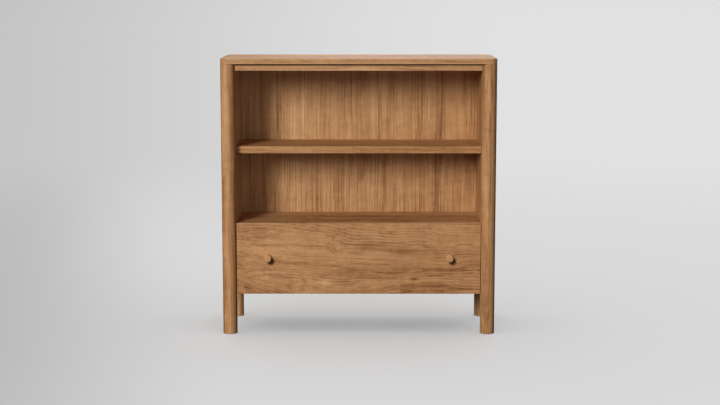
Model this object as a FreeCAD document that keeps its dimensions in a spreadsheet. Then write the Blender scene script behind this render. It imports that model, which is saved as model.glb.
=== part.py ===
import FreeCAD, Part
import os
from types import SimpleNamespace

import Sketcher

# Bookcase on four round posts: a slab top floating over a shallow shadow gap, two open bays
# and one full-width drawer on telescopic ball-bearing slides.
# Frame: +X to the right, +Y to the back, +Z up, origin on the floor under the middle of the
# overall box (knobs included). Everything is in millimetres.

DIMENSIONS = {
    # overall
    "width": 914,
    "depth": 330,
    "height": 924,
    # slab top and posts
    "slab_thickness": 18,
    "slab_corner": 23.95,
    "slab_edge": 1.5,
    "slab_socket": 12,
    "slab_pilot": 11,
    "shadow_gap": 4,
    "spacer_diameter": 30,
    "post_diameter": 48,
    "post_edge": 1,
    "post_socket": 20,
    "glide_thickness": 1,
    "glide_diameter": 30,
    "spigot_diameter": 3,
    "spigot_length": 14,
    # case
    "board": 18,
    "board_edge": 0.8,
    "leg_clearance": 136,
    "front_setback": 15,
    "let_in": 8,
    "corner_relief": 1.2,
    "back_thickness": 6,
    "back_reveal": 2,
    "groove_depth": 5,
    "shelf_underside": 607,
    "shelf_thickness": 24,
    "shelf_edge": 1.5,
    "shelf_play": 1,
    # drawer
    "drawer_front_height": 240,
    "front_edge": 0.8,
    "front_side_play": 1,
    "front_rear_play": 1.5,
    "front_screw_inset": 60,
    "front_screw_rise": 35,
    "front_screw_grip": 12,
    "box_board": 15,
    "box_edge": 1,
    "box_height": 174,
    "box_lift": 12,
    "box_length": 240,
    "box_bottom": 5,
    "box_bottom_rise": 10,
    "box_groove": 5,
    "knob_diameter": 25,
    "knob_length": 27,
    "knob_edge": 3,
    "knob_bore": 14,
    "knob_spread": 608,
    "knob_height": 260,
    "bumper_diameter": 8,
    "bumper_height": 1.2,
    "bumper_inset": 30,
    # slides: a telescope of three channels with balls between their flanges
    "slide_length": 240,
    "slide_height": 45,
    "slide_thickness": 12.7,
    "slide_setback": 1,
    "gauge": 1.2,
    "rail_bend": 1,
    "play": 0.3,
    "outer_rail_tip": 11.5,
    "outer_rail_lip": 2,
    "middle_rail_tip": 10.9,
    "inner_rail_tip": 5.5,
    "raceway_depth": 0.4,
    "outer_ball": 4,
    "outer_ball_offset": 6,
    "inner_ball": 3.5,
    "inner_ball_offset": 8.7,
    "cage_gauge": 0.6,
    "cage_length": 124,
    "outer_cage_tip": 9,
    "inner_cage_tip": 11,
    "ball_pitch": 80,
    "access_hole": 10,
    "slide_screw_inset": 30,
    "slide_screw_grip": 12,
    "countersink": 1.05,
    "countersunk_head": 1,
    "head_play": 0.1,
    # fasteners
    "hole_pitch": 32,
    "dowel_diameter": 8,
    "dowel_grip": 15,
    "frame_dowel_inset": 70,
    "case_dowel_inset": 40,
    "dowel_in_board": 14,
    "dowel_in_side": 10,
    "post_dowel_diameter": 10,
    "cam_diameter": 15,
    "cam_depth": 13.5,
    "cam_setback": 34,
    "cam_recess": 0.5,
    "cam_slot": 3,
    "bolt_diameter": 5,
    "bolt_head": 7,
    "bolt_grip": 11,
    "bolt_channel": 8,
    "top_screw_inset": 90,
    "top_screw_setback": 30,
    "pin_diameter": 5,
    "pin_collar": 8,
    "pin_collar_thickness": 0.8,
    "pin_grip": 9,
    "pin_inset": 45,
    "screw_diameter": 4,
    "screw_head": 8,
    "screw_head_height": 2.4,
}

SNUG = 1e-6  # two levels closer than this are the same
OVERCUT = 1  # how far a cutting outline runs past the piece


class Size:
    """A length that carries its value and the spreadsheet expression behind it."""

    def __init__(self, value, text):
        self.value = value
        self.text = text

    @staticmethod
    def of(number):
        return number if isinstance(number, Size) else Size(float(number), repr(float(number)))

    def __add__(self, other):
        other = Size.of(other)
        return Size(self.value + other.value, f"({self.text} + {other.text})")

    def __sub__(self, other):
        other = Size.of(other)
        return Size(self.value - other.value, f"({self.text} - {other.text})")

    def __rsub__(self, other):
        return Size.of(other) - self

    def __mul__(self, other):
        other = Size.of(other)
        return Size(self.value * other.value, f"({self.text} * {other.text})")

    def __truediv__(self, other):
        other = Size.of(other)
        return Size(self.value / other.value, f"({self.text} / {other.text})")

    def __neg__(self):
        return self * -1

    __radd__ = __add__
    __rmul__ = __mul__


doc = FreeCAD.newDocument("bookcase")
sheet = doc.addObject("Spreadsheet::Sheet", "dims")
for row, (alias, value) in enumerate(DIMENSIONS.items(), start=1):
    sheet.set(f"A{row}", alias.replace("_", " "))
    sheet.set(f"B{row}", str(value))
    sheet.setAlias(f"B{row}", alias)
doc.recompute()
d = SimpleNamespace(**{a: Size(float(v), f"dims.{a}") for a, v in DIMENSIONS.items()})


class Piece:
    """One node: a PartDesign body placed at a point of the bookcase's frame.

    Outlines and levels are given in the bookcase's frame; a pad or a pocket runs between two
    levels, lo and hi, along the normal of its plane."""

    made = []

    def __init__(self, label, corner):
        self.body = doc.addObject("PartDesign::Body", label)
        self.body.Label = label
        self.corner = [Size.of(c) for c in corner]
        for axis, at in zip("xyz", self.corner):
            self.body.setExpression(f"Placement.Base.{axis}", at.text)
        Piece.made.append(self.body)

    def _sketch(self, plane, level, outline, circles):
        x, y, z = self.corner
        shift, offset = {
            "XY": ((x, y), level - z),
            "XZ": ((x, z), y - level),
            "YZ": ((y, z), level - x),
        }[plane]
        sketch = self.body.newObject("Sketcher::SketchObject", f"{self.body.Name}_sketch")
        origin_planes = self.body.Origin.OriginFeatures
        support = next(f for f in origin_planes if f.Role == f"{plane}_Plane")
        sketch.AttachmentSupport = [(support, "")]
        sketch.MapMode = "FlatFace"
        sketch.setExpression("AttachmentOffset.Base.z", offset.text)

        def pin_down(geometry, point, at):
            for kind, value, zero in zip(("DistanceX", "DistanceY"), at, shift):
                local = Size.of(value) - zero
                index = sketch.addConstraint(
                    Sketcher.Constraint(kind, -1, 1, geometry, point, local.value)
                )
                sketch.setExpression(f"Constraints[{index}]", local.text)

        def vector(at):
            u, v = (Size.of(value) - zero for value, zero in zip(at, shift))
            return FreeCAD.Vector(u.value, v.value, 0)

        count = len(outline)
        for i in range(count):
            start, end = vector(outline[i]), vector(outline[(i + 1) % count])
            sketch.addGeometry(Part.LineSegment(start, end))
        for i in range(count):
            sketch.addConstraint(Sketcher.Constraint("Coincident", i, 2, (i + 1) % count, 1))
            pin_down(i, 1, outline[i])
        for u, v, diameter in circles:
            radius = Size.of(diameter) / 2
            normal = FreeCAD.Vector(0, 0, 1)
            ring = sketch.addGeometry(Part.Circle(vector((u, v)), normal, radius.value))
            index = sketch.addConstraint(Sketcher.Constraint("Radius", ring, radius.value))
            sketch.setExpression(f"Constraints[{index}]", radius.text)
            pin_down(ring, 3, (u, v))
        return sketch

    def _feature(self, kind, sketch, lo, hi):
        before = self.body.Shape.Volume if self.body.Tip else 0.0
        feature = self.body.newObject(f"PartDesign::{kind}", f"{self.body.Name}_{kind.lower()}")
        feature.Profile = sketch
        feature.setExpression("Length", (Size.of(hi) - lo).text)
        doc.recompute()
        grown = self.body.Shape.Volume - before
        if grown * (1 if kind == "Pad" else -1) <= 0:
            raise RuntimeError(f"{self.body.Label}: {kind} changed the volume by {grown}")
        return self

    def pad(self, plane, lo, hi, outline=(), circles=()):
        sketch = self._sketch(plane, Size.of(hi if plane == "XZ" else lo), outline, circles)
        return self._feature("Pad", sketch, lo, hi)

    def pocket(self, plane, lo, hi, outline=(), circles=()):
        sketch = self._sketch(plane, Size.of(lo if plane == "XZ" else hi), outline, circles)
        return self._feature("Pocket", sketch, lo, hi)

    def dress(self, kind, radius, keep):
        """Fillet or Chamfer on the edges of the last feature that keep() accepts."""
        base = self.body.Tip
        shape = base.Shape
        names = [f"Edge{i}" for i, e in enumerate(shape.Edges, start=1) if keep(e, shape.BoundBox)]
        feature = self.body.newObject(f"PartDesign::{kind}", f"{self.body.Name}_{kind.lower()}")
        feature.Base = (base, names)
        feature.setExpression("Radius" if kind == "Fillet" else "Size", Size.of(radius).text)
        doc.recompute()
        return self

    def ease(self, radius, axes="XYZ"):
        """Round the outer edges of a board that run along the given axes."""

        def keep(edge, box):
            own = edge.BoundBox
            for axis in axes:
                others = [a for a in "XYZ" if a != axis]
                flat = all(getattr(own, f"{a}Length") < SNUG for a in others)
                outer = all(
                    min(
                        abs(getattr(own, f"{a}Min") - getattr(box, f"{a}Min")),
                        abs(getattr(own, f"{a}Max") - getattr(box, f"{a}Max")),
                    )
                    < SNUG
                    for a in others
                )
                if flat and outer:
                    return True
            return False

        return self.dress("Fillet", radius, keep)

    def ease_rims(self, radius, axis="Z", ends=("Min", "Max")):
        """Round the circular rims at the ends of a turned piece."""

        def keep(edge, box):
            own = edge.BoundBox
            flat = getattr(own, f"{axis}Length") < SNUG
            at_end = any(
                abs(getattr(own, f"{axis}{end}") - getattr(box, f"{axis}{end}")) < SNUG
                for end in ends
            )
            return flat and at_end

        return self.dress("Fillet", radius, keep)


def rectangle(u0, v0, u1, v1):
    return [(u0, v0), (u1, v0), (u1, v1), (u0, v1)]


def discs(places, diameter):
    """Circles of one diameter, each as (u, v, diameter)."""
    return [(u, v, diameter) for u, v in places]


def rising(a, b):
    """Two levels, the lower one first."""
    a, b = Size.of(a), Size.of(b)
    return (a, b) if a.value < b.value else (b, a)


def board(label, x, y, z):
    """A flat board between pairs of levels in X, Y and Z."""
    piece = Piece(label, (x[0], y[0], z[0]))
    return piece.pad("XY", z[0], z[1], outline=rectangle(x[0], y[0], x[1], y[1]))


def on_both_sides(feature, near, far, circles):
    """Run a pad or a pocket between two distances from the middle plane, left and right."""
    feature("YZ", -far, -near, circles=circles)
    feature("YZ", near, far, circles=circles)


# Levels and planes that several pieces share.
front = (d.knob_length - d.front_setback - d.depth) / 2
back = front + d.depth
post_x = (d.width - d.post_diameter) / 2
front_post_y = front + d.post_diameter / 2
rear_post_y = back - d.post_diameter / 2
half_bay = d.width / 2 - d.post_diameter
panel_front = front_post_y + d.let_in
panel_back = rear_post_y - d.let_in
back_panel_front = back - d.post_diameter - d.back_reveal
back_panel_back = back_panel_front + d.back_thickness
front_face = front + d.front_setback
box_front_y = front_face + d.board
inset_front = box_front_y + d.front_rear_play

slab_underside = d.height - d.slab_thickness
case_top = slab_underside - d.shadow_gap
sub_top_underside = case_top - d.board
case_bottom = d.leg_clearance
bottom_top = case_bottom + d.board
drawer_top = case_bottom + d.drawer_front_height
fixed_shelf_underside = drawer_top - d.board
shelf_top = d.shelf_underside + d.shelf_thickness

SIDES = {"left": -1, "right": 1}
POSTS = {
    "front_left": (-1, front_post_y, panel_front, 1),
    "front_right": (1, front_post_y, panel_front, 1),
    "rear_left": (-1, rear_post_y, panel_back, -1),
    "rear_right": (1, rear_post_y, panel_back, -1),
}
post_places = [(side * post_x, y) for side, y, _, _ in POSTS.values()]

# Where the hidden fasteners sit.
frame_dowel_x = half_bay + d.board / 2
frame_dowel_levels = (
    case_bottom + d.frame_dowel_inset,
    (case_bottom + case_top) / 2,
    case_top - d.frame_dowel_inset,
)
case_board_levels = (
    case_bottom + d.board / 2,
    fixed_shelf_underside + d.board / 2,
    sub_top_underside + d.board / 2,
)
case_dowel_rows = (panel_front + d.case_dowel_inset, back_panel_front - d.case_dowel_inset)
case_dowel_places = [(y, z) for y in case_dowel_rows for z in case_board_levels]
case_dowel_start = half_bay - d.dowel_in_board
cam_x = half_bay - d.cam_setback
cam_rows = (case_dowel_rows[0] + d.hole_pitch, case_dowel_rows[1] - d.hole_pitch)
cam_places = [(side * cam_x, y) for side in (-1, 1) for y in cam_rows]
cam_boards = (case_bottom, sub_top_underside)
top_screw_places = [
    (side * (half_bay - d.top_screw_inset), y)
    for side in (-1, 1)
    for y in (panel_front + d.top_screw_setback, panel_back - d.top_screw_setback)
]
pin_level = d.shelf_underside - d.pin_diameter / 2
pin_rows = (panel_front + d.pin_inset, back_panel_front - d.pin_inset)


def frame_dowel_places(side):
    return [(side * frame_dowel_x, z) for z in frame_dowel_levels]


def cam_channels(diameter, boards=cam_boards):
    """Circles at half the thickness of the boards that are drawn up by cams."""
    return [(y, z + d.board / 2, diameter) for z in boards for y in cam_rows]


# The case.
def make_top():
    slab = board("top_panel", (-d.width / 2, d.width / 2), (front, back), (slab_underside, d.height))
    slab.ease(d.slab_corner, axes="Z")
    slab.dress("Fillet", d.slab_edge, lambda edge, box: edge.BoundBox.ZLength < SNUG)
    sockets = discs(post_places, d.post_dowel_diameter)
    slab.pocket("XY", slab_underside, slab_underside + d.slab_socket, circles=sockets)
    pilots = discs(top_screw_places, d.screw_diameter)
    slab.pocket("XY", slab_underside, slab_underside + d.slab_pilot, circles=pilots)


def make_posts():
    """Round posts, each rebated for the edge of the side panel that it carries."""
    for name, (side, y, panel_edge, inward) in POSTS.items():
        centre = (side * post_x, y)
        post = Piece(f"{name}_post", (*centre, 0))
        post.pad("XY", d.glide_thickness, slab_underside, circles=discs([centre], d.post_diameter))
        post.ease_rims(d.post_edge)
        rebate = rectangle(
            side * (half_bay - OVERCUT),
            panel_edge,
            side * (half_bay + d.board),
            y + inward * (d.post_diameter / 2 + OVERCUT),
        )
        post.pocket("XY", case_bottom, case_top, outline=rebate)
        dowel_ends = rising(panel_edge, panel_edge - inward * d.dowel_grip)
        dowels = discs(frame_dowel_places(side), d.dowel_diameter)
        post.pocket("XZ", *dowel_ends, circles=dowels)
        socket = discs([centre], d.post_dowel_diameter)
        post.pocket("XY", slab_underside - d.post_socket, slab_underside, circles=socket)
        spigot = discs([centre], d.spigot_diameter)
        post.pocket("XY", d.glide_thickness, d.glide_thickness + d.spigot_length, circles=spigot)


def make_side_panels():
    """Side panels, grooved for the back and drilled for everything that is fixed to them."""
    pin_holes = [(y, pin_level + d.hole_pitch * step) for y in pin_rows for step in (-1, 0, 1)]
    for name, side in SIDES.items():
        inner, outer = side * half_bay, side * (half_bay + d.board)
        panel = board(
            f"{name}_side_panel",
            rising(inner, outer),
            (panel_front, panel_back),
            (case_bottom, case_top),
        )
        panel.ease(d.board_edge, axes="Y")
        groove_end = side * (half_bay + d.groove_depth)
        panel.pocket(
            "XY",
            bottom_top - d.groove_depth,
            sub_top_underside + d.groove_depth,
            outline=rectangle(inner, back_panel_front, groove_end, back_panel_back),
        )
        dowels = discs(frame_dowel_places(side), d.dowel_diameter)
        panel.pocket("XZ", panel_front, panel_front + d.dowel_grip, circles=dowels)
        panel.pocket("XZ", panel_back - d.dowel_grip, panel_back, circles=dowels)
        for depth, holes in (
            (d.dowel_in_side, discs(case_dowel_places, d.dowel_diameter)),
            (d.bolt_grip, cam_channels(d.bolt_diameter)),
            (d.slide_screw_grip, discs(slide_screw_places, d.screw_diameter)),
            (d.pin_grip, discs(pin_holes, d.pin_diameter)),
        ):
            panel.pocket("YZ", *rising(inner, side * (half_bay + depth)), circles=holes)


def drill_board_ends(piece, level):
    """Dowel holes in both ends of a board that spans the case."""
    holes = discs([(y, level) for y in case_dowel_rows], d.dowel_diameter)
    on_both_sides(piece.pocket, case_dowel_start, half_bay, holes)


def bore_for_cams(piece, underside):
    """Cam bores in a board's underside, each with the bolt's channel from the board's end."""
    bores = discs(cam_places, d.cam_diameter)
    piece.pocket("XY", underside, underside + d.cam_depth, circles=bores)
    channels = cam_channels(d.bolt_channel, boards=(underside,))
    on_both_sides(piece.pocket, cam_x, half_bay, channels)


def back_groove():
    return rectangle(-half_bay, back_panel_front, half_bay, back_panel_back)


def make_sub_top():
    """The board under the slab; in front of the side panels it stands free of the posts."""
    nose = half_bay - d.corner_relief
    half = [(nose, front_face), (nose, panel_front), (half_bay, panel_front), (half_bay, panel_back)]
    sub_top = Piece("sub_top_panel", (-half_bay, front_face, sub_top_underside))
    outline = half + [(-x, y) for x, y in reversed(half)]
    sub_top.pad("XY", sub_top_underside, case_top, outline=outline)
    sub_top.ease(d.board_edge, axes="X")
    sub_top.pocket(
        "XY", sub_top_underside, sub_top_underside + d.groove_depth, outline=back_groove()
    )
    heads = discs(top_screw_places, d.screw_head)
    head_top = sub_top_underside + d.screw_head_height
    sub_top.pocket("XY", sub_top_underside, head_top, circles=heads)
    shanks = discs(top_screw_places, d.screw_diameter)
    sub_top.pocket("XY", sub_top_underside, case_top, circles=shanks)
    drill_board_ends(sub_top, case_board_levels[2])
    bore_for_cams(sub_top, sub_top_underside)


def make_case_boards():
    span = (-half_bay, half_bay)

    fixed = board(
        "fixed_shelf", span, (inset_front, back_panel_front), (fixed_shelf_underside, drawer_top)
    )
    fixed.ease(d.board_edge, axes="X")
    drill_board_ends(fixed, case_board_levels[1])

    bottom = board("bottom_panel", span, (inset_front, panel_back), (case_bottom, bottom_top))
    bottom.ease(d.board_edge, axes="X")
    bottom.pocket("XY", bottom_top - d.groove_depth, bottom_top, outline=back_groove())
    drill_board_ends(bottom, case_board_levels[0])
    bore_for_cams(bottom, case_bottom)

    reach = half_bay + d.groove_depth
    board(
        "back_panel",
        (-reach, reach),
        (back_panel_front, back_panel_back),
        (bottom_top - d.groove_depth, sub_top_underside + d.groove_depth),
    )

    shelf_half = half_bay - d.shelf_play
    shelf = board(
        "middle_shelf",
        (-shelf_half, shelf_half),
        (front + d.post_diameter, back_panel_front - d.shelf_play),
        (d.shelf_underside, shelf_top),
    )
    shelf.ease(d.shelf_edge, axes="X")


def make_glides():
    """Round glides under the posts, each on a spigot."""
    glides = Piece("post_glides", (0, 0, 0))
    glides.pad("XY", 0, d.glide_thickness, circles=discs(post_places, d.glide_diameter))
    spigots = discs(post_places, d.spigot_diameter)
    glides.pad("XY", d.glide_thickness, d.glide_thickness + d.spigot_length, circles=spigots)


def make_dowels():
    slab_dowels = Piece("slab_dowels", (0, 0, slab_underside))
    spots = discs(post_places, d.post_dowel_diameter)
    slab_dowels.pad(
        "XY", slab_underside - d.post_socket, slab_underside + d.slab_socket, circles=spots
    )

    frame_dowels = Piece("frame_dowels", (0, 0, case_bottom))
    spots = discs(frame_dowel_places(-1) + frame_dowel_places(1), d.dowel_diameter)
    for edge in (panel_front, panel_back):
        frame_dowels.pad("XZ", edge - d.dowel_grip, edge + d.dowel_grip, circles=spots)

    case_dowels = Piece("case_dowels", (0, 0, case_bottom))
    spots = discs(case_dowel_places, d.dowel_diameter)
    on_both_sides(case_dowels.pad, case_dowel_start, half_bay + d.dowel_in_side, spots)


def make_top_fixings():
    """Spacer rings that keep the shadow gap, and the screws that draw the slab down on them."""
    shanks = discs(top_screw_places, d.screw_diameter)

    spacers = Piece("top_spacers", (0, 0, case_top))
    rings = discs(top_screw_places, d.spacer_diameter)
    spacers.pad("XY", case_top, slab_underside, circles=rings)
    spacers.pocket("XY", case_top, slab_underside, circles=shanks)

    screws = Piece("top_screws", (0, 0, case_top))
    screws.pad("XY", sub_top_underside, slab_underside + d.slab_pilot, circles=shanks)
    heads = discs(top_screw_places, d.screw_head)
    head_top = sub_top_underside + d.screw_head_height
    screws.pad("XY", sub_top_underside, head_top, circles=heads)


def make_shelf_pins():
    pins = Piece("shelf_pins", (0, 0, pin_level))
    places = [(y, pin_level) for y in pin_rows]
    pin_ends = (half_bay - d.pin_grip, half_bay + d.pin_grip)
    on_both_sides(pins.pad, *pin_ends, discs(places, d.pin_diameter))
    collar_start = half_bay - d.pin_collar_thickness
    on_both_sides(pins.pad, collar_start, half_bay, discs(places, d.pin_collar))


def make_cams():
    """Cam locks in the undersides of the bottom and the sub-top, and the bolts they draw in."""
    slot_end = cam_x - d.cam_slot

    locks = Piece("cam_locks", (0, 0, case_bottom))
    for underside in cam_boards:
        bores = discs(cam_places, d.cam_diameter)
        locks.pad("XY", underside + d.cam_recess, underside + d.cam_depth, circles=bores)
    rim = cam_x + d.cam_diameter / 2
    on_both_sides(locks.pocket, slot_end, rim, cam_channels(d.bolt_channel))

    bolts = Piece("cam_bolts", (0, 0, case_bottom))
    on_both_sides(bolts.pad, cam_x, half_bay + d.bolt_grip, cam_channels(d.bolt_diameter))
    on_both_sides(bolts.pad, slot_end, cam_x, cam_channels(d.bolt_head))


# The drawer: a housed and grooved box behind an applied front.
box_half = half_bay - d.slide_thickness
box_inner = box_half - d.box_board
box_reach = box_inner + d.box_groove
box_back_y = box_front_y + d.box_length
box_bottom_z = bottom_top + d.box_lift
box_top_z = box_bottom_z + d.box_height
box_levels = (box_bottom_z, box_top_z)
floor_bottom = box_bottom_z + d.box_bottom_rise
floor_top = floor_bottom + d.box_bottom
knob_bore_end = front_face - d.knob_bore
front_screw_tip = box_front_y - d.front_screw_grip
knob_places = [(side * d.knob_spread / 2, d.knob_height) for side in (-1, 1)]
front_screw_places = [
    (side * (box_inner - d.front_screw_inset), z)
    for side in (-1, 1)
    for z in (floor_bottom + d.front_screw_rise, box_top_z - d.front_screw_rise)
]


def make_drawer_front():
    half_width = half_bay - d.front_side_play
    face = board(
        "drawer_front",
        (-half_width, half_width),
        (front_face, box_front_y),
        (case_bottom, drawer_top),
    )
    face.ease(d.front_edge)
    through = discs(knob_places, d.screw_diameter)
    face.pocket("XZ", front_face, box_front_y, circles=through)
    pilots = discs(front_screw_places, d.screw_diameter)
    face.pocket("XZ", front_screw_tip, box_front_y, circles=pilots)


def make_box_sides():
    for name, side in SIDES.items():
        inner, outer, housing = side * box_inner, side * box_half, side * box_reach
        wall = board(
            f"drawer_{name}_side", rising(inner, outer), (box_front_y, box_back_y), box_levels
        )
        wall.ease(d.box_edge, axes="Y")
        for y0 in (box_front_y, box_back_y - d.box_board):
            end_housing = rectangle(inner, y0, housing, y0 + d.box_board)
            wall.pocket("XY", *box_levels, outline=end_housing)
        floor_groove = rectangle(inner, box_front_y, housing, box_back_y)
        wall.pocket("XY", floor_bottom, floor_top, outline=floor_groove)
        screw_ends = rising(outer, side * (box_half - d.slide_screw_grip))
        screws = discs(slide_screw_places, d.screw_diameter)
        wall.pocket("YZ", *screw_ends, circles=screws)


def make_box_ends():
    ends = {
        "drawer_box_front": (box_front_y, box_front_y + d.box_board - d.box_groove),
        "drawer_back": (box_back_y - d.box_board, box_back_y - d.box_board),
    }
    for name, (y0, groove_y) in ends.items():
        end = board(name, (-box_reach, box_reach), (y0, y0 + d.box_board), box_levels)
        end.ease(d.box_edge, axes="X")
        groove = rectangle(-box_reach, groove_y, box_reach, groove_y + d.box_groove)
        end.pocket("XY", floor_bottom, floor_top, outline=groove)
        if name == "drawer_box_front":
            screws = discs(knob_places + front_screw_places, d.screw_diameter)
            end.pocket("XZ", y0, y0 + d.box_board, circles=screws)


def make_drawer_bottom():
    inset = d.box_board - d.box_groove
    board(
        "drawer_bottom",
        (-box_reach, box_reach),
        (box_front_y + inset, box_back_y - inset),
        (floor_bottom, floor_top),
    )


def make_bumpers():
    """Buffers on the back of the drawer front, where it closes on the case boards."""
    bumpers = Piece("drawer_bumpers", (0, box_front_y, case_bottom))
    bumper_x = half_bay - d.bumper_inset
    places = [(side * bumper_x, z) for side in (-1, 1) for z in case_board_levels[:2]]
    spots = discs(places, d.bumper_diameter)
    bumpers.pad("XZ", box_front_y, box_front_y + d.bumper_height, circles=spots)


def make_knobs():
    for (x, z), name in zip(knob_places, SIDES):
        knob = Piece(f"{name}_knob", (x, front_face, z))
        turned = discs([(x, z)], d.knob_diameter)
        knob.pad("XZ", front_face - d.knob_length, front_face, circles=turned)
        knob.ease_rims(d.knob_edge, axis="Y", ends=("Min",))
        bore = discs([(x, z)], d.screw_diameter)
        knob.pocket("XZ", knob_bore_end, front_face, circles=bore)


def make_front_screws():
    """Screws from inside the box: into the knobs, and into the drawer front."""
    head_y = box_front_y + d.box_board
    for name, places, tip in (
        ("knob_screws", knob_places, knob_bore_end),
        ("drawer_front_screws", front_screw_places, front_screw_tip),
    ):
        screws = Piece(name, (0, head_y, d.knob_height))
        screws.pad("XZ", tip, head_y, circles=discs(places, d.screw_diameter))
        heads = discs(places, d.screw_head)
        screws.pad("XZ", head_y, head_y + d.screw_head_height, circles=heads)


# Slides. In section, u is the distance from the case side towards the drawer and v the height
# over the slide's centre line. From the outside in: outer rail, outer balls, middle rail, inner
# balls, inner rail; each pair of flanges faces the other across a row of balls.
slide_level = (box_bottom_z + box_top_z) / 2
slide_front = box_front_y + d.slide_setback
slide_back = slide_front + d.slide_length
slide_middle = (slide_front + slide_back) / 2
slide_screw_places = [
    (y, slide_level)
    for y in (slide_front + d.slide_screw_inset, slide_back - d.slide_screw_inset)
]
spare_hole_places = [(slide_middle + d.hole_pitch * step, slide_level) for step in (-1, 0, 1)]
ball_rows = [slide_middle - d.ball_pitch / 2, slide_middle + d.ball_pitch / 2]

outer_top = d.slide_height / 2
outer_groove = d.outer_ball / 2 + d.play
outer_ball_v = outer_top - d.gauge + d.raceway_depth - outer_groove
middle_top = outer_ball_v - outer_groove + d.raceway_depth
inner_groove = d.inner_ball / 2 + d.play
inner_ball_v = middle_top - d.gauge + d.raceway_depth - inner_groove
inner_top = inner_ball_v - inner_groove + d.raceway_depth

outer_cage_web = d.gauge + d.play
middle_web = outer_cage_web + d.cage_gauge + d.play
inner_cage_web = middle_web + d.gauge + 2 * d.play
inner_web = d.slide_thickness - d.gauge


def across(side, u):
    """X at the distance u from the case side."""
    return side * (half_bay - u)


def channel(web, tip, top, gauge, lip=None):
    """Section of a channel, as (u, v) points: web at u = web, flanges out to u = tip, height 2 top."""
    toward = 1 if tip.value > web.value else -1
    inside = web + toward * gauge
    if lip is None:
        half = [(web, top), (tip, top), (tip, top - gauge), (inside, top - gauge)]
    else:
        fold = tip - toward * gauge
        half = [
            (web, top),
            (tip, top),
            (tip, top - gauge - lip),
            (fold, top - gauge - lip),
            (fold, top - gauge),
            (inside, top - gauge),
        ]
    return half + [(u, -v) for u, v in reversed(half)]


def make_rail(label, side, section, raceways):
    """A rolled channel of the given section on one side of the case, with round raceways."""
    rail = Piece(label, (side * half_bay, slide_front, slide_level))
    outline = [(across(side, u), slide_level + v) for u, v in section]
    rail.pad("XZ", slide_front, slide_back, outline=outline)
    rail.ease(d.rail_bend, axes="Y")
    for u, v, diameter in raceways:
        rows = [(across(side, u), slide_level + sign * v) for sign in (-1, 1)]
        rail.pocket("XZ", slide_front, slide_back, circles=discs(rows, diameter))
    return rail


def pierce_web(rail, side, web, holes):
    """Holes through the web whose face nearer the case lies at distance web from it."""
    faces = rising(across(side, web), across(side, web + d.gauge))
    rail.pocket("YZ", *faces, circles=holes)


def countersink(rail, side, u):
    """Countersink the web's holes on the face at distance u from the case side."""
    face = -side * u.value

    def keep(edge, box):
        own = edge.BoundBox
        flat = own.XLength < SNUG and abs(own.XMin - face) < SNUG
        return flat and isinstance(edge.Curve, Part.Circle)

    rail.dress("Chamfer", d.countersink, keep)


def make_rails(name, side):
    outer_race = (d.outer_ball_offset, outer_ball_v, outer_groove * 2)
    inner_race = (d.inner_ball_offset, inner_ball_v, inner_groove * 2)
    screw_holes = discs(slide_screw_places, d.screw_diameter)

    case_face = Size.of(0)
    section = channel(case_face, d.outer_rail_tip, outer_top, d.gauge, lip=d.outer_rail_lip)
    outer = make_rail(f"{name}_slide_outer_rail", side, section, [outer_race])
    pierce_web(outer, side, case_face, screw_holes)
    countersink(outer, side, d.gauge)
    pierce_web(outer, side, case_face, discs(spare_hole_places, d.screw_diameter))

    section = channel(middle_web, d.middle_rail_tip, middle_top, d.gauge)
    middle = make_rail(f"{name}_slide_middle_rail", side, section, [outer_race, inner_race])
    pierce_web(middle, side, middle_web, discs(slide_screw_places, d.access_hole))

    section = channel(d.slide_thickness, d.inner_rail_tip, inner_top, d.gauge)
    inner = make_rail(f"{name}_slide_inner_rail", side, section, [inner_race])
    pierce_web(inner, side, inner_web, screw_holes)
    countersink(inner, side, inner_web)


def make_cages(name, side):
    """Thin channels that hold the balls of each race at their distance from each other."""
    start, end = slide_middle - d.cage_length / 2, slide_middle + d.cage_length / 2
    for part, web, tip, ball_u, ball_v, ball in (
        ("outer", outer_cage_web, d.outer_cage_tip, d.outer_ball_offset, outer_ball_v, d.outer_ball),
        ("inner", inner_cage_web, d.inner_cage_tip, d.inner_ball_offset, inner_ball_v, d.inner_ball),
    ):
        top = ball_v + d.cage_gauge / 2
        cage = Piece(f"{name}_{part}_ball_cage", (side * half_bay, slide_middle, slide_level))
        section = channel(web, tip, top, d.cage_gauge)
        outline = [(across(side, u), slide_level + v) for u, v in section]
        cage.pad("XZ", start, end, outline=outline)
        seats = discs([(across(side, ball_u), y) for y in ball_rows], ball)
        cage.pocket("XY", slide_level - top, slide_level + top, circles=seats)


def make_balls():
    for part, u, v, diameter in (
        ("outer", d.outer_ball_offset, outer_ball_v, d.outer_ball),
        ("inner", d.inner_ball_offset, inner_ball_v, d.inner_ball),
    ):
        places = [
            (across(side, u), y, slide_level + sign * v)
            for side in SIDES.values()
            for sign in (-1, 1)
            for y in ball_rows
        ]
        balls = []
        for place in places:
            sphere = doc.addObject("Part::Sphere", f"{part}_ball")
            sphere.setExpression("Radius", (diameter / 2).text)
            for axis, level in zip("xyz", place):
                sphere.setExpression(f"Placement.Base.{axis}", level.text)
            balls.append(sphere)
        group = doc.addObject("Part::Compound", f"{part}_slide_balls")
        group.Links = balls
        Piece.made.append(group)


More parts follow.
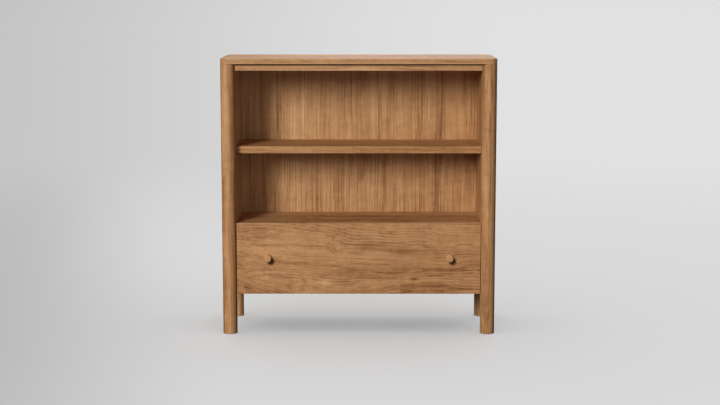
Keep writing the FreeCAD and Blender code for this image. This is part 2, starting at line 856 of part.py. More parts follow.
def make_slide_screws(label, face, into):
    """Countersunk screws through the webs: heads flush with the face, shanks into the wood.

    face is the distance of the heads' flats from the case side, into the way the shanks point:
    1 towards the drawer, -1 towards the case."""
    neck = face + into * d.countersunk_head
    tip = face + into * (d.gauge + d.slide_screw_grip)
    head_diameter = d.screw_diameter + 2 * (d.countersink - d.head_play)
    screws = Piece(label, (0, slide_middle, slide_level))
    for side in SIDES.values():
        shank_ends = rising(across(side, face), across(side, tip))
        screws.pad("YZ", *shank_ends, circles=discs(slide_screw_places, d.screw_diameter))
        head_ends = rising(across(side, face), across(side, neck))
        screws.pad("YZ", *head_ends, circles=discs(slide_screw_places, head_diameter))
    neck_faces = [across(side, neck).value for side in SIDES.values()]

    def keep(edge, box):
        own = edge.BoundBox
        radius = getattr(edge.Curve, "Radius", 0)
        at_neck = own.XLength < SNUG and any(abs(own.XMin - x) < SNUG for x in neck_faces)
        return at_neck and abs(radius - head_diameter.value / 2) < SNUG

    screws.dress("Chamfer", d.countersunk_head - d.head_play, keep)


make_top()
make_posts()
make_side_panels()
make_sub_top()
make_case_boards()
make_glides()
make_dowels()
make_top_fixings()
make_shelf_pins()
make_cams()
make_drawer_front()
make_box_sides()
make_box_ends()
make_drawer_bottom()
make_bumpers()
make_knobs()
make_front_screws()
for side_name, side_sign in SIDES.items():
    make_rails(side_name, side_sign)
    make_cages(side_name, side_sign)
make_balls()
make_slide_screws("case_slide_screws", d.gauge, -1)
make_slide_screws("drawer_slide_screws", inner_web, 1)

doc.recompute()
for item in doc.Objects:
    if "Invalid" in item.State or "Error" in item.State:
        raise RuntimeError(f"{item.Label} failed: {item.State}")
os.makedirs("parts", exist_ok=True)
for item in Piece.made:
    if item.Shape.isNull() or not item.Shape.isValid():
        raise RuntimeError(f"{item.Label} has no valid shape")
    item.Shape.exportStep(f"parts/{item.Label}.step")
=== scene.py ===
"""Looks of the bookcase: its wood, metal and plastic finishes, the studio around it and the camera.

Every visible piece is a node of the frame and keeps its shape. Lengths are in metres, and colours
are linear.
"""

import math
from collections import namedtuple

import bpy
from mathutils import Euler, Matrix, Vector


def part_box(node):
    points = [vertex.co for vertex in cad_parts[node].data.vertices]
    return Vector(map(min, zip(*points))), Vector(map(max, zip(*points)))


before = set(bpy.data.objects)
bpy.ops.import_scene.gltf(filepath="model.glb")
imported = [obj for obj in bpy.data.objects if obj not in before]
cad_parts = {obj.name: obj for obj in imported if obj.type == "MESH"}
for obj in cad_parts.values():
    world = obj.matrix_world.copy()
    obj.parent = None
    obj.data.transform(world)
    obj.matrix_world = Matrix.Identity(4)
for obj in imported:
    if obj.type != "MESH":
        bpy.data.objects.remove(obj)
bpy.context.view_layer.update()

# The camera stands in front of the bookcase, a little above it, and looks slightly down.
CAMERA_PLACE = (0.0146, -5.1908, 1.1589)
CAMERA_DOWN = math.radians(8.040)
CAMERA_LEFT = math.radians(0.116)
CAMERA_LENS_MM = 76.468
CAMERA_FILM_MM = 36.0

# Soft oval lights: azimuth (0 in front, + to the right) and elevation in degrees, distance,
# width, height, watts, and which pieces they reach, as studio() names them. The metal and plastic
# fittings have wide faint lights of their own, as the room that they mirror.
LIGHTS = (
    ("key_light", -25.5, 20.0, 20.0, 5.4, 8.2, 3080.0, "case"),
    ("drawer_key_light", -22.5, 27.5, 20.0, 5.4, 5.4, 3185.0, "face"),
    ("front_light", 14.0, 8.0, 6.0, 4.0, 4.0, 40.0, "inner"),
    ("side_light", -72.0, 12.0, 6.0, 2.5, 2.5, 19.0, "all"),
    ("top_light", 178.0, 76.0, 4.0, 1.6, 1.6, 80.0, "all"),
    ("rear_light", 176.0, 18.0, 6.0, 3.0, 3.0, 36.0, "all"),
    ("corner_light", 138.0, 18.0, 6.0, 3.0, 3.0, 42.0, "all"),
    ("bounce_light", 180.0, -12.0, 6.0, 4.0, 4.0, 40.0, "all"),
    ("left_panel_light", 62.0, 10.0, 6.0, 3.0, 3.0, 15.0, "left_panel"),
    ("fitting_light_left", -60.0, 30.0, 5.0, 6.0, 6.0, 60.0, "fittings"),
    ("fitting_light_right", 70.0, 25.0, 5.0, 6.0, 6.0, 60.0, "fittings"),
    ("fitting_light_floor", 130.0, -35.0, 5.0, 7.0, 7.0, 90.0, "fittings"),
)
LIGHT_TARGET = (0.0, 0.0, 0.5)
SKY_STRENGTH = 0.06
FLOOR_LIGHT_WIDTH = math.radians(120.0)
FLOOR_LIGHT_STRENGTH = 2.3

# The drawer's face has a key light of its own, a little higher than the case's. The front light
# fills the compartments, and leaves out the face and the front posts, whose shadows are deep.
FACE = ("drawer_front", "left_knob", "right_knob")
OUTER = (*FACE, "front_left_post", "front_right_post")

# The backdrop is a flat floor that curves up all round.
FLOOR_RADIUS = 40.0
CURVE_RADIUS = 25.0
CURVE_STEPS = 12
STEPS_AROUND = 96
PAPER_COLOUR = (0.47, 0.47, 0.47)
PAPER_ROUGHNESS = 0.9

# The paper's own glow rises from left to right. Near the bookcase it does so in slanted bands
# (metres to the right, plus a share of the metres to the rear), and further off with the distance
# to the right as a share of the distance from the bookcase plus a reach. The last pair is where,
# in metres from the bookcase, the first gives way to the second.
GLOW_NEAR = (0.125, 0.325)
GLOW_NEAR_BAND = (-1.40, -0.43)
GLOW_BAND_SLANT = 0.17
GLOW_FAR = (0.145, 0.383)
GLOW_FAR_SHARE = (-0.35, 0.12)
GLOW_REACH = 5.3
GLOW_NEAR_TO_FAR = (1.0, 6.0)

# Wood colours from the darkest line to the palest stretch of the grain, and where they stand on
# the scale of tone from 0 to 1.
OILED = (
    (0.12, 0.044, 0.012),
    (0.33, 0.145, 0.050),
    (0.49, 0.242, 0.098),
    (0.60, 0.323, 0.147),
    (0.72, 0.440, 0.235),
)
PALE = (
    (0.22, 0.12, 0.06),
    (0.42, 0.27, 0.15),
    (0.55, 0.38, 0.23),
    (0.63, 0.46, 0.30),
    (0.72, 0.56, 0.40),
)
RAMP_STOPS = (0.0, 0.28, 0.5, 0.72, 1.0)
MIDDLE_TONE = 0.5


def tinted(colours, red=1.0, green=1.0, blue=1.0):
    return tuple((r * red, g * green, b * blue) for r, g, b in colours)


YELLOWER = tinted(OILED, green=1.035)
# Painted light: the drawer's face, its knobs and the front posts, which the front light leaves out,
# are painted paler by about as much as that light would give them.
OILED_PAINTED_FILL = tinted(OILED, 1.15, 1.15, 1.15)
# Painted shade: the left panel, whose inner face lies in shade, is painted greyer and cooler, the
# colour of that shade.
GREYER_PAINTED_SHADE = tinted(OILED, green=1.08, blue=1.18)

# Each board has its own stretch of the log's grain, this far along, across and through per board.
GRAIN_SHIFT = (3.17, 1.31, 2.23)

# The streaks along the grain, from broad to fine: length, width and how much they vary the tone.
STREAKS = (
    (0.50, 0.070, 0.50),
    (0.36, 0.026, 0.42),
    (0.45, 0.0085, 0.44),
    (0.60, 0.0040, 0.38),
    (0.14, 0.0026, 0.62),
)

# Noises in the wood: how often they repeat per metre along, across and through the grain, their
# detail, and their weight where it is the same on every board.
STREAK_DETAIL = 2.0
STREAK_STRENGTH = ((2.5, 22.0, 22.0), 1.0, 1.7)
SLOW_BEND = ((2.2, 4.5, 4.5), 2.0)
QUICK_BEND = ((9.0, 30.0, 30.0), 1.0)
QUICK_BEND_SHARE = 0.05
SHIMMER = ((45.0, 26.0, 26.0), 2.0)
SHIMMER_TONE = 0.26
RAYS = ((240.0, 50.0, 50.0), 1.0)
RAY_TONE = 0.09
FLECKS = ((14.0, 260.0, 260.0), 1.0)
FLECK_RANGE = (0.17, 0.30)
FLECK_TONE = -0.14
PORES = ((70.0, 1900.0, 1900.0), 0.0)
PORE_RANGE = (0.10, 0.24)
PORE_DARKNESS = 0.28

# Growth rings: their width, where in each ring the late wood starts and is darkest, and the noise
# that lets them fade in places.
RING_WIDTH = 0.009
LATE_WOOD_START = 0.25
LATE_WOOD_PEAK = 0.92
RING_PATCHES = ((2.6, 18.0, 18.0), 1.0)
RING_PATCH_RANGE = (-0.18, 0.16)

# Staves: by how many of them one board's row is shifted from the next board's, how unequal they
# are, the width and tone of the line between them, and how much their tones differ.
STAVE_SHIFT = 5.3
STAVE_RANDOMNESS = 0.8
STAVE_SEAM = 0.0007
STAVE_SEAM_TONE = -0.22
STAVE_CONTRAST = 0.12

# Painted edge highlights, where the edges are painted paler as if they caught the light: the radius
# and the samples of the rounding that finds them, the range of the cosine between the true and the
# rounded surface, and how much paler the sharpest edge is.
EDGE_RADIUS = 0.0022
EDGE_SAMPLES = 4
EDGE_RANGE = (0.99, 0.80)
EDGE_HIGHLIGHT = 0.30

# The surface of the wood: its roughness, how streaks and the painted edge highlights change it, and
# its relief.
WOOD_ROUGHNESS = 0.52
STREAK_ROUGHNESS = 0.25
EDGE_ROUGHNESS = -0.2
PORE_DEPTH = -0.6
LATE_WOOD_DEPTH = -0.15
WOOD_RELIEF = (0.0004, 0.35)

# Metal and plastic: their noises (how often they repeat per metre, and detail), how much darker
# or paler their clouds are, how much the plastic's roughness varies with them, and their relief
# (distance and strength).
METAL_CLOUD = ((40.0, 40.0, 40.0), 3.0)
METAL_SCRATCHES = ((900.0, 90.0, 900.0), 1.0)
METAL_SHADE = 0.86
METAL_RELIEF = (0.00003, 0.3)
PLASTIC_TEXTURE = ((1400.0, 1400.0, 1400.0), 1.0)
PLASTIC_CLOUD = ((60.0, 60.0, 60.0), 2.0)
PLASTIC_SHADE = 1.35
PLASTIC_SPREAD = 0.2
PLASTIC_RELIEF = (0.00005, 0.5)
CLOUD_RANGE = (-0.3, 0.3)

# Knots, bends and shades in a board, on the plane of its face, some of them painted light or
# painted shade:
# where they are from its middle (along, across), their half sizes, how strongly the grain spreads
# round them, how far it sinks over them and how much paler they are.
Patch = namedtuple("Patch", "place half_size spread lift tone", defaults=(0.0, 0.0, 0.0))

# Longer than any board, for a patch that runs over all of it in one direction.
WHOLE = 9.0

# Short marks along the grain of the drawer front: tone, half size and places.
FRONT_MARKS = (
    (0.12, (0.060, 0.0065), ((-0.350, 0.035), (-0.240, 0.031), (-0.150, 0.021), (-0.080, 0.010))),
    (0.12, (0.050, 0.0050), ((-0.300, -0.045), (-0.220, -0.066), (-0.150, -0.084))),
    (-0.13, (0.055, 0.0045), ((-0.300, -0.009), (-0.200, -0.0165), (-0.095, -0.024),
                              (-0.010, -0.038))),
    (-0.12, (0.050, 0.0040), ((-0.392, -0.019), (-0.326, -0.038), (-0.231, -0.062))),
    (-0.14, (0.025, 0.0035), ((0.006, 0.072), (0.018, 0.0315), (0.105, 0.089), (0.115, -0.009))),
)
FRONT_PATCHES = (
    Patch((0.350, 0.0), (0.550, WHOLE), lift=0.085),
    Patch((-0.050, -0.130), (0.220, 0.070), lift=0.030),
    Patch((-0.110, -0.082), (0.022, 0.011), spread=0.8, tone=0.32),
    Patch((-0.376, -0.097), (0.016, 0.006), spread=0.8, tone=-0.16),
    Patch((0.187, -0.070), (0.012, 0.005), spread=0.5, tone=-0.42),
    Patch((0.400, -0.060), (0.060, 0.040), spread=0.7, tone=0.04),
    Patch((0.150, 0.024), (0.060, 0.007), tone=-0.20),
    Patch((0.030, 0.055), (0.025, 0.030), tone=-0.07),
    Patch((-0.220, 0.024), (0.150, 0.018), tone=0.05),
    # Painted shade: the lower right of the front is darker, where less light falls.
    Patch((0.330, -0.080), (0.280, 0.120), tone=-0.07),
    Patch((-0.300, 0.085), (0.160, 0.040), tone=0.07),
    Patch((0.290, 0.090), (0.120, 0.030), tone=0.03),
    *(Patch(place, half_size, tone=tone)
      for tone, half_size, places in FRONT_MARKS for place in places),
)
MIDDLE_SHELF_PAINTED_SHADE = (
    # Painted shade: the right end of the middle shelf is darker, where less light falls.
    Patch((0.360, 0.0), (0.300, 0.400), tone=-0.02),
)
FIXED_SHELF_PAINTED_LIGHT = (
    # Painted light: the left end of the fixed shelf is paler, lifting the shadow of the left post
    # and panel on it.
    Patch((-0.325, 0.0), (0.080, WHOLE), tone=0.16),
)
# On the back panel: the right half is darker, painted shade where less light falls; a strip along
# the top is paler, painted light in the shadow under the sub-top; the upper left is paler and the
# lower left a little darker.
BACK_PATCHES = (
    Patch((0.0, 0.300), (0.500, 0.220), tone=-0.09),
    Patch((0.180, -0.290), (0.300, 0.130), tone=0.08),
    Patch((0.365, 0.0), (0.060, 2.0), tone=0.10),
    Patch((-0.100, -0.150), (0.110, 0.300), tone=-0.03),
)
LEFT_POST_PATCHES = (
    Patch((-0.400, 0.0), (0.120, 0.200), tone=0.06),
)
RIGHT_POST_PAINTED_LIGHT_AND_SHADE = (
    # Painted light: a paler stripe down the right flank of the post.
    Patch((0.0, 0.0165), (2.0, 0.006), tone=0.08),
    # Painted shade: the foot of the post is darker, where less light falls.
    Patch((-0.420, 0.0), (0.200, 0.200), tone=-0.05),
)

# Each wooden node: the axes along, across and through its grain, its colours, and where the log's
# heart lies from the middle of the board (across, through). Where it differs from the rest: tone
# (paler above 0), figure (how far its grain wanders), marks (how strong its streaks and pores are),
# rings (how dark they are), staves (how wide they are), gloss and patches.
BOARDS = {
    "top_panel": dict(
        axes="XYZ", colours=OILED, heart=(0.05, -0.20), tone=0.11, figure=0.09, marks=0.7),
    "sub_top_panel": dict(axes="XYZ", colours=OILED, heart=(-0.06, -0.15), tone=0.11, figure=0.06),
    "middle_shelf": dict(
        axes="XYZ", colours=OILED, heart=(0.08, -0.14), tone=0.03, figure=0.06, marks=0.85,
        gloss=0.12, patches=MIDDLE_SHELF_PAINTED_SHADE),
    "fixed_shelf": dict(
        axes="XYZ", colours=OILED, heart=(-0.03, -0.18), tone=0.03, marks=1.5, gloss=0.12,
        patches=FIXED_SHELF_PAINTED_LIGHT),
    "bottom_panel": dict(axes="XYZ", colours=OILED, heart=(0.02, 0.17)),
    "drawer_front": dict(
        axes="XZY", colours=OILED_PAINTED_FILL, heart=(-0.05, 0.08), figure=0.14, marks=0.96,
        patches=FRONT_PATCHES),
    "back_panel": dict(
        axes="ZXY", colours=YELLOWER, heart=(0.3, 0.3), tone=0.03, figure=0.02, staves=0.085,
        patches=BACK_PATCHES),
    "left_side_panel": dict(
        axes="ZYX", colours=GREYER_PAINTED_SHADE, heart=(0.3, 0.3), tone=0.05, figure=0.02, staves=0.11),
    "right_side_panel": dict(
        axes="ZYX", colours=YELLOWER, heart=(0.3, -0.3), tone=0.03, figure=0.02, staves=0.11),
    "front_left_post": dict(
        axes="ZXY", colours=OILED_PAINTED_FILL, heart=(0.05, 0.06), tone=0.03, figure=0.04,
        patches=LEFT_POST_PATCHES),
    "front_right_post": dict(
        axes="ZXY", colours=OILED_PAINTED_FILL, heart=(-0.06, 0.05), figure=0.04,
        patches=RIGHT_POST_PAINTED_LIGHT_AND_SHADE),
    "rear_left_post": dict(axes="ZXY", colours=OILED, heart=(0.05, 0.06), tone=0.20, figure=0.04),
    "rear_right_post": dict(axes="ZXY", colours=OILED, heart=(-0.04, 0.06), figure=0.04),
    "left_knob": dict(
        axes="YXZ", colours=OILED_PAINTED_FILL, heart=(0.03, 0.04), tone=0.14, figure=0.01, marks=0.35,
        rings=0.06),
    "right_knob": dict(
        axes="YXZ", colours=OILED_PAINTED_FILL, heart=(-0.03, 0.04), tone=0.14, figure=0.01, marks=0.35,
        rings=0.06),
    "drawer_left_side": dict(axes="YZX", colours=PALE, heart=(0.0, 0.12)),
    "drawer_right_side": dict(axes="YZX", colours=PALE, heart=(0.02, 0.12)),
    "drawer_box_front": dict(axes="XZY", colours=PALE, heart=(0.0, 0.12)),
    "drawer_back": dict(axes="XZY", colours=PALE, heart=(0.01, 0.12)),
    "drawer_bottom": dict(axes="XYZ", colours=PALE, heart=(0.0, 0.15)),
    "frame_dowels": dict(axes="XYZ", colours=PALE),
    "case_dowels": dict(axes="XYZ", colours=PALE),
    "slab_dowels": dict(axes="ZXY", colours=PALE),
}


def opaque(colour):
    return (*colour, 1.0)


class Shader:
    """The node tree of one material, with short calls for what the finishes share."""

    def __init__(self, name):
        self.material = bpy.data.materials.new(name)
        self.material.use_nodes = True
        self.tree = self.material.node_tree
        self.surface = self.tree.nodes["Principled BSDF"]

    def feed(self, socket, value):
        """Links a socket to another node's output, or sets its own value."""
        if isinstance(value, bpy.types.NodeSocket):
            self.tree.links.new(value, socket)
        else:
            socket.default_value = value

    def add(self, kind, inputs, **settings):
        node = self.tree.nodes.new("ShaderNode" + kind)
        for name, value in settings.items():
            setattr(node, name, value)
        for name, value in inputs.items():
            self.feed(node.inputs[name], value)
        return node

    def math(self, operation, first, second=0.0):
        return self.add("Math", {0: first, 1: second}, operation=operation).outputs[0]

    def total(self, *terms):
        result = terms[0]
        for term in terms[1:]:
            result = self.math("ADD", result, term)
        return result

    def vector_math(self, operation, first, second):
        return self.add("VectorMath", {0: first, 1: second}, operation=operation).outputs

    def move(self, vector, offset):
        return self.vector_math("ADD", vector, offset)[0]

    def parts(self, vector):
        return self.add("SeparateXYZ", {0: vector}).outputs

    def noise(self, vector, scale, detail, weight=1.0):
        """Smooth noise around zero, scaled apart along the three directions."""
        placed = self.vector_math("MULTIPLY", vector, scale)[0]
        texture = self.add("TexNoise", {"Vector": placed, "Scale": 1.0, "Detail": detail})
        centred = self.math("SUBTRACT", texture.outputs[0], 0.5)
        return self.math("MULTIPLY", centred, weight)

    def step(self, value, low, high, to_low=0.0, to_high=1.0):
        """A smooth ramp from one value to another."""
        inputs = {"Value": value, "From Min": low, "From Max": high}
        inputs.update({"To Min": to_low, "To Max": to_high})
        return self.add("MapRange", inputs, interpolation_type="SMOOTHSTEP").outputs[0]

    def ramp(self, value, stops, colours):
        node = self.add("ValToRGB", {0: value})
        points = node.color_ramp.elements
        while len(points) < len(stops):
            points.new(1.0)
        for point, stop, colour in zip(points, stops, colours):
            point.position = stop
            point.color = opaque(colour)
        return node.outputs[0]

    def mix(self, factor, first, second):
        """Blends two colours. These socket numbers are the ones of the colour mode."""
        inputs = {0: factor, 6: first, 7: second}
        return self.add("Mix", inputs, data_type="RGBA").outputs[2]

    def bump(self, height, distance, strength):
        node = self.add("Bump", {"Height": height, "Distance": distance, "Strength": strength})
        self.feed(self.surface.inputs["Normal"], node.outputs[0])

    def finish(self, **values):
        """Feeds the surface's sockets, named with _ for a space, and gives the material."""
        for name, value in values.items():
            self.feed(self.surface.inputs[name.replace("_", " ")], value)
        return self.material


def board_space(shader, node, axes):
    """Coordinates from the middle of a node: along the grain, across it and through the board."""
    low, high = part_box(node)
    place = shader.add("TexCoord", {}).outputs["Object"]
    parts = shader.parts(shader.move(place, tuple(-(low + high) / 2)))
    order = ["XYZ".index(axis) for axis in axes]
    return shader.add("CombineXYZ", {i: parts[k] for i, k in enumerate(order)}).outputs[0]


def stave_cells(shader, space, width, seed):
    """Joins a board from staves: each has its own grain and tone, and a fine line between."""
    across = shader.parts(space)[1]
    cells = shader.math("ADD", shader.math("DIVIDE", across, width), seed * STAVE_SHIFT)
    inputs = {"W": cells, "Scale": 1.0, "Randomness": STAVE_RANDOMNESS}
    stave = shader.add("TexVoronoi", inputs, voronoi_dimensions="1D").outputs["Color"]
    lines = shader.add("TexVoronoi", inputs, voronoi_dimensions="1D", feature="DISTANCE_TO_EDGE")
    seam = shader.step(lines.outputs["Distance"], 0.0, STAVE_SEAM / width, STAVE_SEAM_TONE, 0.0)
    own = shader.math("SUBTRACT", shader.parts(stave)[1], 0.5)
    tone = shader.math("MULTIPLY", own, STAVE_CONTRAST)
    return shader.move(space, stave), shader.total(tone, seam)


def hump(shader, space, place, half_size):
    """A smooth hump over an oval, 1 at its middle, and how far across from there a point lies."""
    offset = shader.move(space, (-place[0], -place[1], 0.0))
    scaled = shader.vector_math("MULTIPLY", offset, (1 / half_size[0], 1 / half_size[1], 0.0))[0]
    square = shader.vector_math("DOT_PRODUCT", scaled, scaled)["Value"]
    return shader.math("EXPONENT", shader.math("MULTIPLY", square, -1.0)), shader.parts(offset)[1]


def wander(shader, space, face, shift, figure, patches):
    """Bends the grain off its straight line, as the tree grew, so that all its marks bend together.

    The patches lie where they are placed on the board's face, whatever its staves do. The second
    result is the tone that they add."""
    grain = shader.move(space, shift)
    slow = shader.noise(grain, *SLOW_BEND, figure)
    quick = shader.noise(grain, *QUICK_BEND, figure * QUICK_BEND_SHARE)
    bend = shader.total(slow, quick)
    shade = 0.0
    for patch in patches:
        inside, across = hump(shader, face, patch.place, patch.half_size)
        lifted = shader.math("ADD", shader.math("MULTIPLY", across, -patch.spread), patch.lift)
        bend = shader.math("ADD", shader.math("MULTIPLY", inside, lifted), bend)
        shade = shader.math("ADD", shader.math("MULTIPLY", inside, patch.tone), shade)
    return shader.move(space, shader.add("CombineXYZ", {1: bend, 2: bend}).outputs[0]), shade


def growth_rings(shader, space, shift, heart):
    """How dark the late wood of each ring is, 0 to 1. The rings circle the heart of the log."""
    parts = shader.parts(space)
    across = shader.math("SUBTRACT", parts[1], heart[0])
    through = shader.math("SUBTRACT", parts[2], heart[1])
    squares = [shader.math("MULTIPLY", side, side) for side in (across, through)]
    radius = shader.math("SQRT", shader.total(*squares))
    phase = shader.math("FRACT", shader.math("DIVIDE", radius, RING_WIDTH))
    rise = shader.step(phase, LATE_WOOD_START, LATE_WOOD_PEAK)
    late = shader.math("MULTIPLY", rise, shader.step(phase, LATE_WOOD_PEAK, 1.0, 1.0, 0.0))
    patchy = shader.step(shader.noise(shader.move(space, shift), *RING_PATCHES), *RING_PATCH_RANGE)
    return shader.math("MULTIPLY", late, patchy)


def grain_marks(shader, grain, marks):
    """The tones of all marks along the grain, and the finest streak alone."""
    strength = shader.math("ADD", shader.noise(grain, *STREAK_STRENGTH), 1.0)
    tones = []
    for length, width, contrast in STREAKS:
        repeats = (1 / length, 1 / width, 1 / width)
        streak = shader.noise(grain, repeats, STREAK_DETAIL, contrast * marks)
        tones.append(shader.math("MULTIPLY", streak, strength))
    shimmer = shader.noise(grain, *SHIMMER, SHIMMER_TONE * marks)
    rays = shader.math("MULTIPLY", shader.noise(grain, *RAYS, RAY_TONE * marks), strength)
    flecks = shader.step(shader.noise(grain, *FLECKS), *FLECK_RANGE, 0.0, FLECK_TONE * marks)
    return (*tones, shimmer, rays, flecks), streak


def painted_edge_highlight(shader):
    """How much paler the edges are painted, a painted highlight: nothing on a face, most on a sharp
    edge.
    """
    rounded = shader.add("Bevel", {"Radius": EDGE_RADIUS}, samples=EDGE_SAMPLES).outputs[0]
    true = shader.add("NewGeometry", {}).outputs["Normal"]
    turned = shader.vector_math("DOT_PRODUCT", rounded, true)["Value"]
    return shader.step(turned, *EDGE_RANGE, 0.0, EDGE_HIGHLIGHT)


def wood(name, node, seed, axes, colours, heart=(0.0, 0.16), tone=0.0, figure=0.13, staves=None,
         rings=0.16, marks=1.0, gloss=0.32, patches=()):
    """Wood sawn from one log: rings about its heart, streaks, fibres and pores along the grain."""
    shader = Shader(name)
    face = space = board_space(shader, node, axes)
    level = MIDDLE_TONE + tone
    if staves:
        space, stave_tone = stave_cells(shader, face, staves, seed)
        level = shader.math("ADD", stave_tone, level)
    shift = tuple(seed * distance for distance in GRAIN_SHIFT)
    space, shade = wander(shader, space, face, shift, figure, patches)
    late = growth_rings(shader, space, shift, heart)
    grain = shader.move(space, shift)
    tones, fine = grain_marks(shader, grain, marks)
    level = shader.total(shader.math("MULTIPLY", late, -rings), shade, level, *tones)
    colour = shader.ramp(level, RAMP_STOPS, colours)

    # Open pores are short fine lines, dark and sunk.
    pores = shader.step(shader.noise(grain, *PORES), *PORE_RANGE)
    darkness = shader.math("MULTIPLY", pores, PORE_DARKNESS * marks)
    colour = shader.mix(darkness, colour, opaque(colours[0]))

    # The edges are painted paler with the palest wood colour, a painted highlight, and made a
    # little smoother.
    edge = painted_edge_highlight(shader)
    colour = shader.mix(edge, colour, opaque(colours[-1]))
    streaked = shader.math("MULTIPLY", fine, STREAK_ROUGHNESS)
    edge_roughness_change = shader.math("MULTIPLY", edge, EDGE_ROUGHNESS)
    rough = shader.total(WOOD_ROUGHNESS, streaked, edge_roughness_change)
    sunk = shader.math("MULTIPLY", pores, PORE_DEPTH)
    height = shader.total(fine, sunk, shader.math("MULTIPLY", late, LATE_WOOD_DEPTH))
    shader.bump(height, *WOOD_RELIEF)
    return shader.finish(Base_Color=colour, Roughness=rough, Specular_IOR_Level=gloss)


def metal(name, colour, roughness, spread=0.12):
    """Plated or polished metal with cloudy and scratched roughness."""
    shader = Shader(name)
    place = shader.add("TexCoord", {}).outputs["Object"]
    cloud = shader.noise(place, *METAL_CLOUD)
    scratches = shader.noise(place, *METAL_SCRATCHES)
    uneven = [shader.math("MULTIPLY", noise, spread) for noise in (cloud, scratches)]
    shade = shader.step(cloud, *CLOUD_RANGE)
    darker = [channel * METAL_SHADE for channel in colour]
    tint = shader.mix(shade, opaque(darker), opaque(colour))
    shader.bump(scratches, *METAL_RELIEF)
    rough = shader.total(roughness, *uneven)
    return shader.finish(Base_Color=tint, Metallic=1.0, Roughness=rough)


def plastic(name, colour, roughness):
    """Moulded plastic with a fine spark-eroded texture."""
    shader = Shader(name)
    place = shader.add("TexCoord", {}).outputs["Object"]
    texture = shader.noise(place, *PLASTIC_TEXTURE)
    cloud = shader.noise(place, *PLASTIC_CLOUD)
    paler = [channel * PLASTIC_SHADE for channel in colour]
    tint = shader.mix(shader.step(cloud, *CLOUD_RANGE), opaque(colour), opaque(paler))
    shader.bump(texture, *PLASTIC_RELIEF)
    rough = shader.total(roughness, shader.math("MULTIPLY", cloud, PLASTIC_SPREAD))
    return shader.finish(Base_Color=tint, Roughness=rough)


def paper():
    """Pale studio paper that glows a little by itself, less towards the left."""
    shader = Shader("studio_paper")
    place = shader.add("TexCoord", {}).outputs["Object"]
    away = shader.add("VectorMath", {0: place}, operation="LENGTH").outputs["Value"]
    x, y, _ = shader.parts(place)
    band = shader.math("ADD", x, shader.math("MULTIPLY", y, GLOW_BAND_SLANT))
    near = shader.step(band, *GLOW_NEAR_BAND, *GLOW_NEAR)
    share = shader.math("DIVIDE", x, shader.math("ADD", away, GLOW_REACH))
    far = shader.step(share, *GLOW_FAR_SHARE, *GLOW_FAR)
    glow = shader.mix(shader.step(away, *GLOW_NEAR_TO_FAR), near, far)
    return shader.finish(Base_Color=opaque(PAPER_COLOUR), Roughness=PAPER_ROUGHNESS,
                         Specular_IOR_Level=0.0, Emission_Color=glow, Emission_Strength=1.0)


def dress_boards():
    for seed, (node, look) in enumerate(BOARDS.items(), 1):
        finish = wood(node + "_wood", node, seed, **look)
        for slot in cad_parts[node].material_slots:
            slot.material = finish


def dress_fittings():
    """Each of the frame's own materials for metal and plastic gives way to its finish."""
    finishes = {
        "slide_steel": metal("zinc_plated_steel", (0.62, 0.63, 0.64), 0.34),
        "ball_steel": metal("polished_steel", (0.72, 0.72, 0.73), 0.12, 0.05),
        "cage_steel": metal("pressed_steel", (0.45, 0.45, 0.46), 0.42),
        "cam_zinc": metal("cast_zinc", (0.50, 0.50, 0.51), 0.48),
        "fastener_steel": metal("screw_steel", (0.58, 0.57, 0.55), 0.30),
        "dark_plastic": plastic("black_plastic", (0.022, 0.022, 0.024), 0.45),
    }
    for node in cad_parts.values():
        for slot in node.material_slots:
            slot.material = finishes.get(slot.material.name, slot.material)


def backdrop_mesh():
    """A flat floor that curves up into a wall all round."""
    profile = [(FLOOR_RADIUS, 0.0)]
    for i in range(1, CURVE_STEPS + 1):
        angle = math.pi / 2 * i / CURVE_STEPS
        outwards = CURVE_RADIUS * math.sin(angle)
        profile.append((FLOOR_RADIUS + outwards, CURVE_RADIUS * (1 - math.cos(angle))))
    corners = [(0.0, 0.0, 0.0)]
    for radius, rise in profile:
        for k in range(STEPS_AROUND):
            angle = 2 * math.pi * k / STEPS_AROUND
            corners.append((radius * math.cos(angle), radius * math.sin(angle), rise))
    faces = [(0, 1 + k, 1 + (k + 1) % STEPS_AROUND) for k in range(STEPS_AROUND)]
    for ring in range(CURVE_STEPS):
        low = 1 + ring * STEPS_AROUND
        high = low + STEPS_AROUND
        for k in range(STEPS_AROUND):
            after = (k + 1) % STEPS_AROUND
            faces.append((low + k, high + k, high + after, low + after))
    mesh = bpy.data.meshes.new("studio_floor")
    mesh.from_pydata(corners, [], faces)
    mesh.shade_smooth()
    return mesh


def backdrop():
    """The camera sees the floor, but it neither lights nor shades the bookcase, nor shows in it."""
    mesh = backdrop_mesh()
    floor = bpy.data.objects.new("studio_floor", mesh)
    bpy.context.scene.collection.objects.link(floor)
    mesh.materials.append(paper())
    floor.visible_diffuse = False
    floor.visible_glossy = False
    floor.visible_shadow = False
    return floor


def only_on(light, name, objects):
    """The light reaches these objects and no others."""
    reached = bpy.data.collections.new(name)
    for thing in objects:
        reached.objects.link(thing)
    light.light_linking.receiver_collection = reached


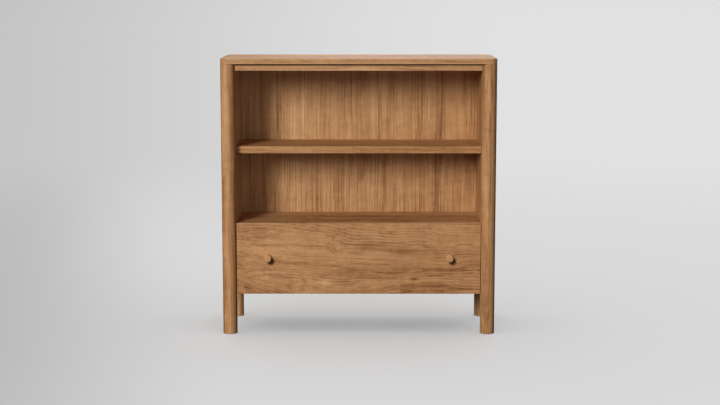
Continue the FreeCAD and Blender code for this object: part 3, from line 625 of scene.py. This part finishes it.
def sky_over(floor):
    """Even light from above for the floor alone, so that only soft shadows lie on it."""
    lamp = bpy.data.lights.new("floor_light", "SUN")
    lamp.angle = FLOOR_LIGHT_WIDTH
    lamp.energy = FLOOR_LIGHT_STRENGTH
    light = bpy.data.objects.new("floor_light", lamp)
    bpy.context.scene.collection.objects.link(light)
    only_on(light, "lit_by_floor_light", [floor])


def softbox(name, azimuth, elevation, distance, width, height, watts):
    """An oval soft light that faces the bookcase."""
    lamp = bpy.data.lights.new(name, "AREA")
    lamp.shape = "ELLIPSE"
    lamp.size = width
    lamp.size_y = height
    lamp.energy = watts
    light = bpy.data.objects.new(name, lamp)
    side = math.radians(azimuth)
    rise = math.radians(elevation)
    across = math.cos(rise)
    direction = Vector((math.sin(side) * across, -math.cos(side) * across, math.sin(rise)))
    light.location = Vector(LIGHT_TARGET) + direction * distance
    light.rotation_euler = direction.to_track_quat("Z", "Y").to_euler()
    bpy.context.scene.collection.objects.link(light)
    return light


def sky():
    """Faint even light from all round, which polished surfaces don't mirror."""
    world = bpy.data.worlds.new("studio")
    bpy.context.scene.world = world
    world.use_nodes = True
    background = world.node_tree.nodes["Background"]
    background.inputs["Color"].default_value = (1.0, 1.0, 1.0, 1.0)
    background.inputs["Strength"].default_value = SKY_STRENGTH
    world.cycles_visibility.glossy = False


def studio():
    sky()
    floor = backdrop()
    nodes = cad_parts
    reach = {
        "all": list(nodes.values()),
        "case": [node for name, node in nodes.items() if name not in FACE],
        "face": [nodes[name] for name in FACE],
        "inner": [node for name, node in nodes.items() if name not in OUTER],
        "left_panel": [nodes["left_side_panel"]],
        "fittings": [node for name, node in nodes.items() if name not in BOARDS],
    }
    for name, *place, reached in LIGHTS:
        only_on(softbox(name, *place), "lit_by_" + name, reach[reached])
    sky_over(floor)


def camera():
    data = bpy.data.cameras.new("camera")
    data.sensor_fit = "HORIZONTAL"
    data.sensor_width = CAMERA_FILM_MM
    data.lens = CAMERA_LENS_MM
    view = bpy.data.objects.new("camera", data)
    view.location = CAMERA_PLACE
    view.rotation_euler = Euler((math.pi / 2 - CAMERA_DOWN, 0.0, CAMERA_LEFT))
    bpy.context.scene.collection.objects.link(view)
    bpy.context.scene.camera = view


dress_boards()
dress_fittings()
studio()
camera()
bpy.context.scene.view_settings.view_transform = "Standard"
